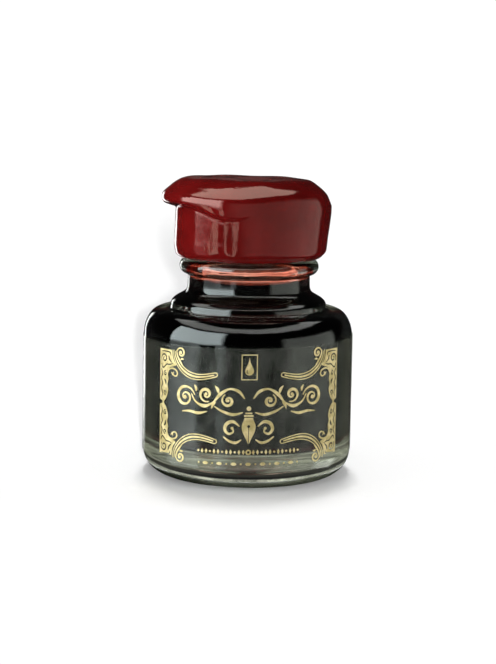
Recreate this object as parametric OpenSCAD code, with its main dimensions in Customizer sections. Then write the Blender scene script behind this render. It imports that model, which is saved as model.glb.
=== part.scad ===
// Round 30 ml ink bottle with a two-step shoulder, a clear wrap label printed
// in gold foil, and a wax-dipped screw cap.
// Millimetres. +Z is up, the origin is the centre of the resting plane, and
// the middle of the label faces -Y.

/* [Glass bottle] */
// Outer diameter of the body
body_d = 44; // [43:0.5:48]
// Height at which the straight wall ends and the shoulder begins
shoulder_z = 29.5; // [29.5:0.5:34]
// Radius of the rounded heel
heel_r = 5; // [3.5:0.5:6]
// Thickness of the side wall
wall_t = 2.9; // [2:0.1:3.4]
// Height of the inside floor where it meets the wall
floor_z = 6.5; // [5:0.1:8]
// Depth of the hollow under the base
punt_h = 1.3; // [0.6:0.1:2]
// Outer diameter of the neck
neck_d = 25.7; // [25.2:0.1:26.6]
// Bore of the neck
bore_d = 20.4; // [18:0.2:21]
// Outer diameter of the bead under the cap
bead_d = 29.3; // [28.8:0.1:29.6]

/* [Screw finish] */
// Diameter over the glass thread
thread_d = 27.4; // [27.2:0.1:27.5]
// Diameter of the glass at the root of the thread
root_d = 25.1; // [25:0.1:25.2]
// Rise of the thread in one turn
pitch = 4.23; // [4:0.01:4.4]
// Turns of thread on the glass
glass_turns = 1.5; // [1:0.05:1.6]
// Turns of thread inside the cap
cap_turns = 1.25; // [0.75:0.05:1.3]

/* [Cap] */
// Outer diameter of the moulded cap over its ribs
cap_d = 29.8; // [29.6:0.1:30]
// Number of grip ribs on the moulded cap
ribs = 48; // [36:4:60]
// Thickness of the wax over the top of the cap
wax_top_t = 1.75; // [1.4:0.05:2.5]
// How far the wax lip stands out at its fullest
wax_lip = 2.9; // [0.8:0.1:3.4]

/* [Ink] */
// Height of the ink's surface
ink_z = 41; // [32:0.5:43]
// Height the thin film of ink has climbed inside the neck
film_z = 45.9; // [44:0.1:48]
// Thickness of that film
film_t = 0.22; // [0.12:0.02:0.4]

/* [Label] */
// Height of the label, which never passes the straight part of the wall
label_h = 24.4; // [18:0.2:24.4]
// Width of the seam left open at the back
label_gap = 2; // [1:0.5:12]
// Tilt of the hand-applied label
label_skew = 0.9; // [0:0.1:1.2]
// How far the print sits to the right of the middle
print_shift = 0.45; // [-1:0.05:1]
// Thickness of the clear film
film_gauge = 0.1; // [0.06:0.01:0.15]

/* [Hidden] */
$fn = 96;

// Colours, as plain words and values.
glass_c = [0.80, 0.86, 0.82, 0.35];
ink_c = [0.10, 0.01, 0.01];
gold_c = [0.86, 0.76, 0.45];
wax_c = [0.36, 0.03, 0.03];

// Heights that follow from the shoulder.
up = shoulder_z - 29.5;
R = body_d / 2;
rn = neck_d / 2;
rb = bore_d / 2;
rroot = root_d / 2;
rthr = thread_d / 2;
rbead = bead_d / 2;
bead_top = 45.4 + up;
rim_z = 58 + up;
wax_bot = 45.75 + up;
skirt_bot = 46.6 + up;
ceiling_z = rim_z + 1.22;
cap_top = ceiling_z + 1.34;
cap_in = rthr + 0.25;
cap_r = cap_d / 2;
flank = 1.45;             // axial distance between thread centres at touch
slack = 0.1;              // axial play left between the flanks
thread_z0 = 49 + up;      // centre of the glass thread where it starts

// ---------- curves ----------
// Points on an arc or a quarter of an ellipse in the r-z plane.
function arc(cx, cz, rx, rz, a0, a1, n) =
  [for (i = [0:n]) let (a = a0 + (a1 - a0) * i / n) [cx + rx * cos(a), cz + rz * sin(a)]];
// One point on the smooth curve between p1 and p2.
function cr(p0, p1, p2, p3, t) =
  0.5 * (2 * p1 + (p2 - p0) * t + (2 * p0 - 5 * p1 + 4 * p2 - p3) * t * t + (3 * p1 - p0 - 3 * p2 + p3) * t * t * t);
// A smooth curve through all the points, with m steps between neighbours.
function curve(p, m) = concat(
  [for (i = [0:len(p) - 2]) for (j = [0:m - 1]) cr(p[max(i - 1, 0)], p[i], p[i + 1], p[min(i + 2, len(p) - 1)], j / m)],
  [p[len(p) - 1]]);
// Eased step from 0 at a to 1 at b.
function ease(a, b, x) = let (t = min(max((x - a) / (b - a), 0), 1)) t * t * (3 - 2 * t);
function lift(p, h) = [for (q = p) [q[0], q[1] + h]];

// ---------- bottle ----------
outer_profile = concat(
  [for (i = [0:6]) let (r = 14.2 * i / 6) [r, punt_h * (1 - pow(i / 6, 2))]],
  arc(R - heel_r, heel_r, heel_r, heel_r, -90, 0, 9),
  arc(R - 5.8, shoulder_z, 5.8, 6.4, 0, 83, 10),
  lift(arc(rn - 0.65, 36, 4, 2.35, 4, 68, 8), up),
  lift([[rn + 0.35, 38.55], [rn + 0.1, 38.95], [rn, 39.5], [rn - 0.02, 41.3], [rn + 0.12, 41.75]], up),
  lift(arc(rbead - 1.5, 43.9, 1.5, 1.95, -72, 0, 5), up),
  lift(arc(rbead - 0.5, 44.9, 0.5, 0.5, 0, 90, 4), up),
  [[rroot, bead_top], [rroot, rim_z - 0.9]],
  arc(rroot - 0.9, rim_z - 0.9, 0.9, 0.9, 15, 90, 4),
  arc(rb + 0.6, rim_z - 0.6, 0.6, 0.6, 90, 180, 4));

ri = R - wall_t;
// The inside surface, from the mouth down to the middle of the floor.
inner_profile = concat(
  [[rb, 39.6 + up], [rb + 0.12, 38.4 + up], [rb + 0.7, 37.3 + up]],
  arc(rb + 2.6, shoulder_z - 0.2, ri - rb - 2.6, 6.4, 88, 0, 9),
  arc(ri - 3.2, floor_z + 3.2, 3.2, 3.2, 0, -86, 7),
  [for (i = [0:4]) let (k = 1 - i / 4) [(ri - 3.4) * k, floor_z + 0.7 * (1 - k * k)]]);

// A helical ridge. rr is its root radius, rc its crest radius, wr and wc its
// half widths there, and it fades in and out over the first and last eighth turn.
module thread(rr, rc, wr, wc, z0, turns, start) {
  n = ceil(turns * 36);
  fade = function (i) min(1, min(i, n - i) / 4.5 + 0.04);
  pts = [for (i = [0:n]) let (a = start + 360 * turns * i / n, z = z0 + pitch * turns * i / n,
      f = fade(i), rt = rr + (rc - rr) * f)
      each [[rr * cos(a), rr * sin(a), z - wr * (0.4 + 0.6 * f)], [rt * cos(a), rt * sin(a), z - wc],
            [rt * cos(a), rt * sin(a), z + wc], [rr * cos(a), rr * sin(a), z + wr * (0.4 + 0.6 * f)]]];
  flip = rc > rr;
  faces = concat(
    [[0, 1, 2, 3]],
    [for (i = [0:n - 1]) for (k = [0:3]) let (a = 4 * i + k, b = 4 * i + (k + 1) % 4)
      each [[a, a + 4, b + 4], [a, b + 4, b]]],
    [[4 * n + 3, 4 * n + 2, 4 * n + 1, 4 * n]]);
  polyhedron(points = pts, faces = flip ? [for (q = faces) [for (i = [len(q) - 1:-1:0]) q[i]]] : faces);
}

module bottle() {
  color(glass_c) union() {
    rotate_extrude() polygon(concat(outer_profile, inner_profile));
    thread(rroot - 0.25, rthr, 1.3, 0.6, thread_z0, glass_turns, 0);
  }
}

// ---------- ink ----------
g = 0.02;   // modelling gap between the ink and the glass
ink_profile = concat(
  [[0, ink_z], [rb - 1.6, ink_z], [rb - 0.8, ink_z + 0.18], [rb - film_t - 0.12, ink_z + 0.75],
   [rb - film_t - g, ink_z + 1.5], [rb - film_t - g, film_z - 0.15], [rb - film_t / 2 - g, film_z], [rb - g, film_z - 0.1]],
  [for (p = inner_profile) if (p[1] < ink_z + 5) [max(p[0] - g, 0), p[1] + (p[1] < 20 ? g : 0)]]);
module ink() {
  color(ink_c) rotate_extrude() polygon(ink_profile);
}

// ---------- label ----------
adh_in = R + 0.01;
adh_out = adh_in + 0.05;
film_in = adh_out + 0.01;
film_out = film_in + film_gauge;
foil_in = film_out + 0.005;
foil_out = foil_in + 0.03;
label_mid = (heel_r + shoulder_z) / 2;
label_hh = min(label_h, shoulder_z - heel_r - 0.1);
// The part of a tube round the body that lies between the label's tilted edges.
module wrap(r0, r1, inset) {
  half = 360 * (label_gap / 2 + inset) / (2 * PI * R);
  intersection() {
    rotate_extrude(angle = 360 - 2 * half, start = 90 + half)
      translate([r0, label_mid - label_hh / 2 - 3]) square([r1 - r0, label_hh + 6]);
    translate([0, 0, label_mid]) rotate([0, -label_skew, 0])
      cube([3 * R, 3 * R, label_hh - 2 * inset], center = true);
  }
}
module label_adhesive() { color([0.9, 0.9, 0.85, 0.4]) wrap(adh_in, adh_out, 0.15); }
module label_film() { color([0.85, 0.88, 0.86, 0.35]) wrap(film_in, film_out, 0); }

// ---------- foil print ----------
// Flat art is drawn with x as the distance round the body and y up from the
// middle of the label. on_body moves each point to where it is seen from the front,
// and shrinks the art with a shorter label.
art = label_hh / 24.4;
function on_body(p) = [foil_out * sin((p[0] * art + print_shift) / foil_out * 180 / PI), p[1] * art];
function norm2(v) = v / max(norm(v), 1e-6);
// The outline of a pen stroke: a centre line with a width that changes along it.
function stroke(c, w) = let (n = len(c) - 1,
    side = [for (i = [0:n]) let (d = norm2(c[min(i + 1, n)] - c[max(i - 1, 0)])) [-d[1], d[0]]])
  concat([for (i = [0:n]) c[i] + side[i] * w[i] / 2], [for (i = [n:-1:0]) c[i] - side[i] * w[i] / 2]);
// Widths that start at a, swell to b and end at e.
function swell(n, a, b, e) = [for (i = [0:n]) let (t = i / n) (t < 0.5 ? a + (b - a) * ease(0, 0.5, t) : b + (e - b) * ease(0.5, 1, t))];
function flip_x(p) = [for (q = p) [-q[0], q[1]]];
function flip_y(p) = [for (q = p) [q[0], -q[1]]];
// A spiral from radius r0 to r1 about c, from angle a0 through sweep.
function spiral(c, r0, r1, a0, sweep, n) =
  [for (i = [0:n]) let (t = i / n, a = a0 + sweep * t, r = r0 + (r1 - r0) * t) c + r * [cos(a), sin(a)]];
module ink_line(c, w) { polygon([for (p = stroke(c, w)) on_body(p)]); }
module mirror4() { for (sx = [1, -1]) for (sy = [1, -1]) { $sx = sx; $sy = sy; children(); } }
function signed(p, sx, sy) = [for (q = p) [q[0] * sx, q[1] * sy]];
module shape(p) { polygon([for (q = p) on_body(q)]); }

// Presses flat art onto the film, as thin foil.
module pressed() {
  color(gold_c) intersection() {
    difference() {
      cylinder(r = foil_out, h = shoulder_z + 4);
      translate([0, 0, -1]) cylinder(r = foil_in, h = shoulder_z + 6);
    }
    translate([0, 0, label_mid]) rotate([90, 0, 0]) linear_extrude(height = R + 2) rotate(label_skew) children();
  }
}

fw = 21.3;    // half width of the frame, along the body
fh = 11.3;    // half height of the frame
module foil_frame() {
  horn = curve([[-14.9, 11.1], [-14.3, 9.2], [-12.4, 7.1], [-9.6, 5.85], [-6.5, 6.35]], 4);
  curl = spiral([-14.1, 10.1], 1.25, 0.35, 95, -400, 14);
  pressed() mirror4() {
    shape(signed(concat([[-fw, -0.05], [-fw, fh], [-15.9, fh], [-15.9, fh - 0.4]],
                 arc(-14.6, fh - 0.5, 3.2, 4.3, 185, 238, 5), [[-18.2, 6.6], [-18.4, 4.2], [-18.6, 1.6], [-19.5, 0.5], [-19.6, -0.05]]), $sx, $sy));
    ink_line(signed(horn, $sx, $sy), swell(len(horn) - 1, 0.35, 0.9, 0.6));
    ink_line(signed(curl, $sx, $sy), swell(len(curl) - 1, 0.4, 0.5, 0.25));
    ink_line(signed(spiral([-16.9, 5.3], 1.0, 0.3, 150, -330, 12), $sx, $sy), swell(12, 0.35, 0.5, 0.25));
  }
}
module foil_emblem() {
  pressed() {
    for (s = [1, -1]) {
      shape([[s * 1.55, 6.1], [s * 1.55, 11.2], [s * 1.35, 11.2], [s * 1.35, 6.1]]);
      shape([[-1.3, 8.65 + s * 2.55], [1.3, 8.65 + s * 2.55], [1.3, 8.65 + s * 2.35], [-1.3, 8.65 + s * 2.35]]);
    }
    shape(concat([for (a = [160:22:380]) [0.85 * cos(a), 7.75 + 0.85 * sin(a)]], [[0.36, 9.2], [0, 10.7], [-0.36, 9.2]]));
  }
}
module foil_title() {
  pressed() {
    for (s = [1, -1]) {
      ink_line(signed(curve([[1.2, 3.2], [4, 4.3], [7.5, 3.1], [10.5, 0.8], [13.4, 1.1], [14.2, 3.0], [12.7, 3.9], [11.6, 3.0]], 3), s, 1), swell(21, 0.3, 0.95, 0.3));
      ink_line(signed(curve([[1.4, 1.4], [3.4, 0.2], [6.4, 0.6], [8.0, 2.2]], 3), s, 1), swell(9, 0.3, 0.6, 0.25));
      ink_line(signed(curve([[3.2, -3.6], [5.2, -5.6], [7.4, -4.6], [7.0, -2.8], [5.6, -3.0]], 3), s, 1), swell(12, 0.25, 0.6, 0.25));
      // One half of a pen nib, with its slit left open.
      shape(signed([[0.09, -7.0], [1.1, -4.4], [1.75, -2.2], [1.2, -0.2], [0.9, 0.9], [0.45, 0.9], [0.45, -1.9], [0.09, -2.3]], s, 1));
    }
  }
}
module foil_footer() {
  pressed() {
    for (i = [-12:12]) if (abs(i) != 0) shape([for (a = [0:90:270]) [i * 0.86 + (i > 0 ? 0.1 : -0.1) + 0.3 * cos(a), -8.85 + 0.38 * sin(a)]]);
    shape([for (a = [0:30:330]) [0.62 * cos(a), -8.85 + 0.62 * sin(a)]]);
    for (i = [-7:7]) shape([for (p = [[-0.55, -0.14], [0.55, -0.14], [0.55, 0.14], [-0.55, 0.14]]) [i * 1.48 + p[0], -11.15 + p[1]]]);
  }
}

// ---------- cap ----------
// The ribbed outline of the moulded cap, larger by e all round.
module rib_outline(e = 0) {
  polygon([for (i = [0:ribs - 1]) for (k = [0:3])
    let (a = 360 * (i + [0, 0.28, 0.5, 0.78][k]) / ribs, r = (k < 2 ? cap_r : cap_r - 0.35) + e) [r * cos(a), r * sin(a)]]);
}
module cap_body(e = 0) {
  union() {
    translate([0, 0, skirt_bot - e]) linear_extrude(height = cap_top - 1.25 - skirt_bot + 2 * e) rib_outline(e);
    rotate_extrude() polygon([[0, skirt_bot + 0.5], [cap_r - 0.6 + e, skirt_bot + 0.5], [cap_r - 0.6 + e, cap_top - 1.1],
                              [cap_r - 0.9 + e, cap_top - 0.4], [cap_r - 1.6 + e, cap_top + e], [0, cap_top + e]]);
  }
}
module cap_shell() {
  color([0.12, 0.12, 0.13]) union() {
    difference() {
      cap_body();
      translate([0, 0, skirt_bot - 1]) cylinder(r = cap_in, h = ceiling_z - skirt_bot + 1);
    }
    thread(cap_in + 0.25, rroot + 0.35, 1.1, 0.45, thread_z0 + 0.15 * pitch - flank - slack, cap_turns, 54);
  }
}
module liner_facing() {
  color([0.78, 0.79, 0.80]) translate([0, 0, rim_z + 0.02]) cylinder(r = 13.2, h = 0.12);
}
module liner_board() {
  color([0.80, 0.74, 0.62]) translate([0, 0, rim_z + 0.15]) cylinder(r = 13.2, h = 1.05);
}

// ---------- wax ----------
// Half sections of the wax, from under the skirt to the middle of the top:
// where it only rounds over, where the lip hangs furthest, and at the front.
k_lip = (wax_lip - 2.9);
side_plain = [[14.75, 45.75], [15.35, 46.1], [15.9, 46.9], [16.2, 48.3], [16.55, 50.5], [16.85, 53], [17.1, 55.3],
              [17.05, 57], [16.5, 58.6], [15.4, 60.1], [13.4, 61.4], [10.5, 62.1], [5.5, 62.3], [0, 62.3]];
side_lip = [[14.6, 45.75], [15.1, 46.15], [15.55, 47], [15.8, 48.5], [15.8, 51], [15.65, 53.5], [15.7, 55.6],
            [16.3, 56.15], [17.8 + k_lip, 56.8], [18.6 + k_lip, 58.3], [17.9 + k_lip, 59.9], [15.5, 61.4], [11, 62.3], [0, 62.3]];
side_front = [[14.75, 45.75], [15.3, 46.1], [15.8, 46.9], [16.05, 48.3], [16.2, 50.5], [16.25, 52.5], [16.35, 54],
              [16.65, 54.7], [17.25 + k_lip / 4, 55.7], [17.3 + k_lip / 4, 57.5], [16.3, 59.6], [13.7, 61.3], [8.5, 62.2], [0, 62.3]];
function w_lip(a) = a < 215 ? ease(122, 172, a) : 1 - ease(205, 245, a);
function w_front(a) = a < 250 ? ease(208, 245, a) : 1 - ease(262, 294, a);
function wax_section(a) =
  let (wl = w_lip(a) * (1 - w_front(a)), wf = w_front(a),
       top = wax_top_t - 1.75,
       p = [for (i = [0:13]) side_plain[i] * (1 - wl - wf) + side_lip[i] * wl + side_front[i] * wf])
  [for (q = curve(p, 2)) [max(q[0], 0), q[1] + up + top * ease(56, 62, q[1]) + 0.12 * ease(50, 60, q[1]) * sin(3 * a + 40) * min(q[0] / 14, 1)]];
module wax_outside() {
  na = 48;
  rows = [for (i = [0:na - 1]) wax_section(360 * i / na)];
  m = len(rows[0]) - 1;    // the last point is the pole
  pts = concat([for (i = [0:na - 1]) for (j = [0:m - 1]) [rows[i][j][0] * cos(360 * i / na), rows[i][j][0] * sin(360 * i / na), j == 0 ? wax_bot : rows[i][j][1]]],
               [[0, 0, rows[0][m][1]]]);
  polyhedron(points = pts, faces = concat(
    [[for (i = [0:na - 1]) i * m]],
    [for (i = [0:na - 1]) for (j = [0:m - 2]) let (a = i * m + j, b = ((i + 1) % na) * m + j) each [[a, a + 1, b + 1], [a, b + 1, b]]],
    [for (i = [0:na - 1]) [i * m + m - 1, na * m, ((i + 1) % na) * m + m - 1]]));
}
module wax_hood() {
  color(wax_c) difference() {
    wax_outside();
    cap_body(0.02);
    translate([0, 0, wax_bot - 1]) cylinder(r = cap_in + 0.1, h = 3);
  }
}

bottle();
ink();
label_adhesive();
label_film();
foil_frame();
foil_emblem();
foil_title();
foil_footer();
cap_shell();
liner_board();
liner_facing();
wax_hood();
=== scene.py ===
import math
import bpy, bmesh
import numpy as np
from mathutils import Vector, Matrix, Quaternion
from mathutils.geometry import delaunay_2d_cdt


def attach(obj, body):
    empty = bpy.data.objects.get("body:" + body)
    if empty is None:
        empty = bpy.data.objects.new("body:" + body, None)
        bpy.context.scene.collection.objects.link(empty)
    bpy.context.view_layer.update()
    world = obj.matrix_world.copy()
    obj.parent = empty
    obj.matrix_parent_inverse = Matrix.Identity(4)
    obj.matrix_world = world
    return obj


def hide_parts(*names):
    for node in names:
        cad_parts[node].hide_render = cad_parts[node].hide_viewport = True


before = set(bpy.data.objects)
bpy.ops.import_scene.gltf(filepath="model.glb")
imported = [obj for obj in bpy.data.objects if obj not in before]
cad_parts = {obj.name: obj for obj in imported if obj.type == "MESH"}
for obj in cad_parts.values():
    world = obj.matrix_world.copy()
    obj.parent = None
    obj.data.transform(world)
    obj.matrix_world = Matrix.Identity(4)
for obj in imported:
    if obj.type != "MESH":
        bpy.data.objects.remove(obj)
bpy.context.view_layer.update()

MM = 0.001
sin, cos, pi = math.sin, math.cos, math.pi
D2R = pi / 180.0

# Sizes in millimetres, as in the design.
R = 22.0; RN = 12.85; RB = 10.2; ROOT = 12.55; CREST = 13.67; RBEAD = 14.65
RIM_Z = 58.0; INK_Z = 40.4; FILM_Z = 45.9; FILM_T = 0.15
PITCH = 4.23; THREAD_Z0 = 49.0; THREAD_TURNS = 1.5
LABEL_MID = 17.25; LABEL_H = 24.4; SKEW = 0.9 * D2R; PRINT_SHIFT = 0.45
FILM_IN, FILM_OUT = R + 0.07, R + 0.17
FOIL_IN, FOIL_OUT = R + 0.175, R + 0.205


# ------------------------------------------------------------------ helpers
def arc(cx, cz, rx, rz, a0, a1, n):
    return [(cx + rx * cos((a0 + (a1 - a0) * i / n) * D2R), cz + rz * sin((a0 + (a1 - a0) * i / n) * D2R)) for i in range(n + 1)]


def catmull(p, m):
    p = [np.array(q, float) for q in p]
    out = []
    for i in range(len(p) - 1):
        a, b, c, d = p[max(i - 1, 0)], p[i], p[i + 1], p[min(i + 2, len(p) - 1)]
        for j in range(m):
            t = j / m
            out.append(0.5 * (2 * b + (c - a) * t + (2 * a - 5 * b + 4 * c - d) * t * t + (3 * b - a - 3 * c + d) * t ** 3))
    out.append(p[-1])
    return out


def ease(a, b, x):
    t = min(max((x - a) / (b - a), 0.0), 1.0)
    return t * t * (3 - 2 * t)


def new_object(name, verts, faces, body, replaces=(), smooth=True, face_mats=None, mats=()):
    me = bpy.data.meshes.new(name)
    me.from_pydata([(x * MM, y * MM, z * MM) for x, y, z in verts], [], faces)
    for m in mats:
        me.materials.append(m)
    if face_mats is not None:
        me.polygons.foreach_set("material_index", np.array(face_mats, np.int32))
    me.polygons.foreach_set("use_smooth", np.full(len(me.polygons), bool(smooth)))
    me.validate()
    me.update()
    ob = bpy.data.objects.new(name, me)
    bpy.context.scene.collection.objects.link(ob)
    if body:
        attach(ob, body)
    if replaces:
        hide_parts(*replaces)
    return ob


def loft(rows, n, closed=False):
    """Faces and points of a surface of rings. rows is a list of rings, each a list of n points, or a single point for a pole."""
    verts, faces, row_of, start = [], [], [], []
    for row in rows:
        start.append(len(verts))
        verts += row
    for j in range(len(rows) - 1):
        a, b = start[j], start[j + 1]
        na, nb = len(rows[j]), len(rows[j + 1])
        for i in range(n):
            k = (i + 1) % n
            if na == 1 and nb == 1:
                continue
            if na == 1:
                faces.append((a, b + k, b + i))
            elif nb == 1:
                faces.append((a + i, a + k, b))
            else:
                faces.append((a + i, a + k, b + k, b + i))
            row_of.append(j)
    return verts, faces, row_of


def sharpen(ob, angle_deg):
    """Marks edges sharper than the angle, so smooth shading stops there."""
    bm = bmesh.new()
    bm.from_mesh(ob.data)
    lim = angle_deg * D2R
    for e in bm.edges:
        if len(e.link_faces) == 2 and e.calc_face_angle(0.0) > lim:
            e.smooth = False
    bm.to_mesh(ob.data)
    bm.free()


# ------------------------------------------------------------------ materials
class Mat:
    def __init__(self, name):
        self.m = bpy.data.materials.new(name)
        self.m.use_nodes = True
        self.t = self.m.node_tree
        self.t.nodes.clear()
        self.out = self.t.nodes.new("ShaderNodeOutputMaterial")

    def n(self, kind, **kw):
        node = self.t.nodes.new(kind)
        for k, v in kw.items():
            if k.startswith("_"):
                setattr(node, k[1:], v)
        for k, v in kw.items():
            if not k.startswith("_"):
                self.set(node, k.replace("__", " "), v)
        return node

    def set(self, node, key, v):
        sock = node.inputs[int(key[1:])] if key[0] == "i" and key[1:].isdigit() else node.inputs[key]
        if isinstance(v, bpy.types.NodeSocket):
            self.t.links.new(v, sock)
        elif isinstance(v, bpy.types.Node):
            self.t.links.new(v.outputs[0], sock)
        else:
            if isinstance(v, (tuple, list)) and len(v) == 3 and sock.type == "RGBA":
                v = (*v, 1.0)
            sock.default_value = v

    def math(self, op, a, b=0.0, c=0.0, clamp=False):
        node = self.t.nodes.new("ShaderNodeMath")
        node.operation = op
        node.use_clamp = clamp
        for i, v in enumerate((a, b, c)):
            self.set(node, "i%d" % i, v)
        return node.outputs[0]

    def smooth(self, a, b, x, lo=0.0, hi=1.0):
        node = self.t.nodes.new("ShaderNodeMapRange")
        node.interpolation_type = "SMOOTHSTEP"
        for i, v in enumerate((x, a, b, lo, hi)):
            self.set(node, "i%d" % i, v)
        return node.outputs[0]

    def pos(self):
        """Object coordinates in millimetres: x, y, z, radius and angle round the axis."""
        tc = self.t.nodes.new("ShaderNodeTexCoord")
        sc = self.t.nodes.new("ShaderNodeVectorMath")
        sc.operation = "SCALE"
        self.t.links.new(tc.outputs["Object"], sc.inputs[0])
        sc.inputs["Scale"].default_value = 1000.0
        sep = self.t.nodes.new("ShaderNodeSeparateXYZ")
        self.t.links.new(sc.outputs[0], sep.inputs[0])
        return sc.outputs[0], sep.outputs[0], sep.outputs[1], sep.outputs[2]

    def noise(self, vec, scale, detail=3.0, rough=0.5, dist=0.0):
        return self.n("ShaderNodeTexNoise", Vector=vec, Scale=scale, Detail=detail, Roughness=rough, Distortion=dist).outputs["Fac"]

    def stretch(self, vec, s):
        v = self.t.nodes.new("ShaderNodeVectorMath")
        v.operation = "MULTIPLY"
        self.set(v, "i0", vec)
        v.inputs[1].default_value = s
        return v.outputs[0]

    def bump(self, height, strength, distance, normal=None):
        b = self.n("ShaderNodeBump", Strength=strength, Distance=distance, Height=height)
        if normal is not None:
            self.set(b, "Normal", normal)
        return b.outputs[0]

    def mixc(self, fac, a, b):
        node = self.t.nodes.new("ShaderNodeMix")
        node.data_type = "RGBA"
        for s, v in (("Factor_Float", fac), ("A_Color", a), ("B_Color", b)):
            sock = [x for x in node.inputs if x.identifier == s][0]
            if isinstance(v, bpy.types.NodeSocket):
                self.t.links.new(v, sock)
            else:
                sock.default_value = (*v, 1.0) if isinstance(v, (tuple, list)) and len(v) == 3 else v
        return [x for x in node.outputs if x.identifier == "Result_Color"][0]

    def mix(self, fac, a, b):
        node = self.t.nodes.new("ShaderNodeMixShader")
        self.set(node, "i0", fac)
        self.set(node, "i1", a)
        self.set(node, "i2", b)
        return node.outputs[0]

    def done(self, surface, volume=None):
        self.t.links.new(surface, self.out.inputs["Surface"])
        if volume is not None:
            self.t.links.new(volume, self.out.inputs["Volume"])
        return self.m


def glass_material(name, ior, color, label_mask=False, reflect=True):
    m = Mat(name)
    vec, x, y, z = m.pos()
    # Moulded glass has slow waves, and a little orange peel.
    h = m.noise(m.stretch(vec, (1, 1, 0.6)), 0.09, 2.0)
    h2 = m.noise(vec, 0.9, 2.0)
    height = m.math("ADD", m.math("MULTIPLY", h, 1.0), m.math("MULTIPLY", h2, 0.02))
    nrm = m.bump(height, 0.35, 0.0006)
    rad = m.math("SQRT", m.math("ADD", m.math("MULTIPLY", x, x), m.math("MULTIPLY", y, y)))
    rough = 0.0
    geo = m.t.nodes.new("ShaderNodeNewGeometry")
    if label_mask:
        # the foot that stands on the table is stippled (rougher), and its glass colour is darkened there, darkest on
        # the left: painted shade
        dip = m.math("MULTIPLY", m.smooth(-15.0, -6.0, x), m.smooth(6.0, 15.0, x, 1.0, 0.0))
        zf = m.math("ADD", z, m.math("MULTIPLY", dip, 0.32))
        foot = m.math("MULTIPLY", m.smooth(1.9, 2.5, zf, 1.0, 0.0), m.math("SUBTRACT", 1.0, geo.outputs["Backfacing"]))
        rough = m.math("MULTIPLY", foot, 0.3)
        # painted shade: the foot's glass colour is darkened, near black on the left
        color = m.mixc(foot, color, m.mixc(m.smooth(-13.0, -3.0, x), (0.07, 0.075, 0.055), (0.20, 0.21, 0.16)))
    refr = m.n("ShaderNodeBsdfRefraction", Color=color, Roughness=rough, IOR=ior, Normal=nrm).outputs[0]
    gl = m.n("ShaderNodeBsdfGlass", Color=color, Roughness=rough, IOR=ior, Normal=nrm).outputs[0]
    if label_mask:
        # Under the stuck-down label the outer surface has no reflection of its own.
        tilt = m.math("SUBTRACT", z, m.math("MULTIPLY", x, math.tan(SKEW)))
        rel = m.math("ABSOLUTE", m.math("SUBTRACT", tilt, LABEL_MID))
        inside = m.smooth(LABEL_H / 2 - 0.25, LABEL_H / 2 - 0.15, rel, 1.0, 0.0)
        outer = m.math("GREATER_THAN", m.math("SQRT", m.math("ADD", m.math("MULTIPLY", x, x), m.math("MULTIPLY", y, y))), R - 0.4)
        back = m.math("GREATER_THAN", y, 0.0)
        seam = m.math("MULTIPLY", back, m.math("LESS_THAN", m.math("ABSOLUTE", x), 1.1))
        fac = m.math("MULTIPLY", m.math("MULTIPLY", inside, outer), m.math("SUBTRACT", 1.0, seam))
        # painted glow: where the label lies, faces seen from inside the glass emit a little light, standing in for
        # light the glue scatters back
        painted_glow = m.math("MULTIPLY", m.math("MULTIPLY", fac, geo.outputs["Backfacing"]), m.smooth(0.3, 0.7, m.noise(m.stretch(vec, (1, 1, 0.4)), 0.5, 4.0, 0.6), 0.12, 0.34))
        # painted glow: emission paints the light the thick base would gather, a thin bright line above the foot and a
        # haze under the ink
        front = m.math("SUBTRACT", 1.0, geo.outputs["Backfacing"])
        wide = m.noise(m.stretch(vec, (1, 1, 0.6)), 0.16, 3.0, 0.6)
        strip = m.noise(m.stretch(vec, (0.7, 0.7, 3.0)), 0.55, 4.0, 0.65)
        line = m.math("MULTIPLY", m.smooth(2.15, 2.5, zf), m.smooth(2.65, 3.05, zf, 1.0, 0.0))
        broken = m.noise(m.stretch(vec, (1, 1, 0.3)), 0.42, 3.0, 0.6)
        line = m.math("MULTIPLY", line, m.smooth(0.35, 0.62, broken, 0.14, 0.46))
        line = m.math("MULTIPLY", line, m.math("MULTIPLY", m.smooth(-15.0, -6.0, x, 0.42, 1.0), m.smooth(8.0, 14.0, x, 1.0, 0.25)))
        below = m.math("MULTIPLY", m.smooth(2.9, 3.3, z), m.smooth(4.2, 4.8, z, 1.0, 0.0))
        below = m.math("MULTIPLY", below, 0.03)
        band = m.math("MULTIPLY", m.smooth(4.3, 4.9, z), m.smooth(7.2, 7.6, z, 1.0, 0.0))
        band = m.math("MULTIPLY", band, m.smooth(0.3, 0.7, strip, 0.06, 0.15))
        level = m.math("MULTIPLY", m.smooth(7.25, 7.45, z), m.smooth(7.6, 7.85, z, 1.0, 0.0))
        level = m.math("MULTIPLY", level, m.smooth(0.3, 0.6, wide, 0.12, 0.28))
        painted_base_glow = m.math("ADD", m.math("ADD", line, below), m.math("MULTIPLY", m.math("ADD", band, level), m.smooth(-17.0, -10.0, x, 0.35, 1.0)))
        painted_base_glow = m.math("MULTIPLY", m.math("MULTIPLY", painted_base_glow, front), m.math("GREATER_THAN", rad, R - 3.4))
        painted_glow = m.math("ADD", painted_glow, painted_base_glow)
        # painted light: the glass emits the painted glows; no lamp lights it
        em = m.n("ShaderNodeEmission", Color=(0.86, 0.88, 0.70), Strength=painted_glow)
        add = m.n("ShaderNodeAddShader", i0=m.mix(fac, gl, refr), i1=em)
        return m.done(add.outputs[0])
    return m.done(gl)


MAT_GLASS = glass_material("bottle_glass", 1.52, (0.965, 0.985, 0.968), label_mask=True)
MAT_GLASS_WET = glass_material("bottle_glass_wetted", 1.52 / 1.335, (0.84, 0.86, 0.83))


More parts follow.
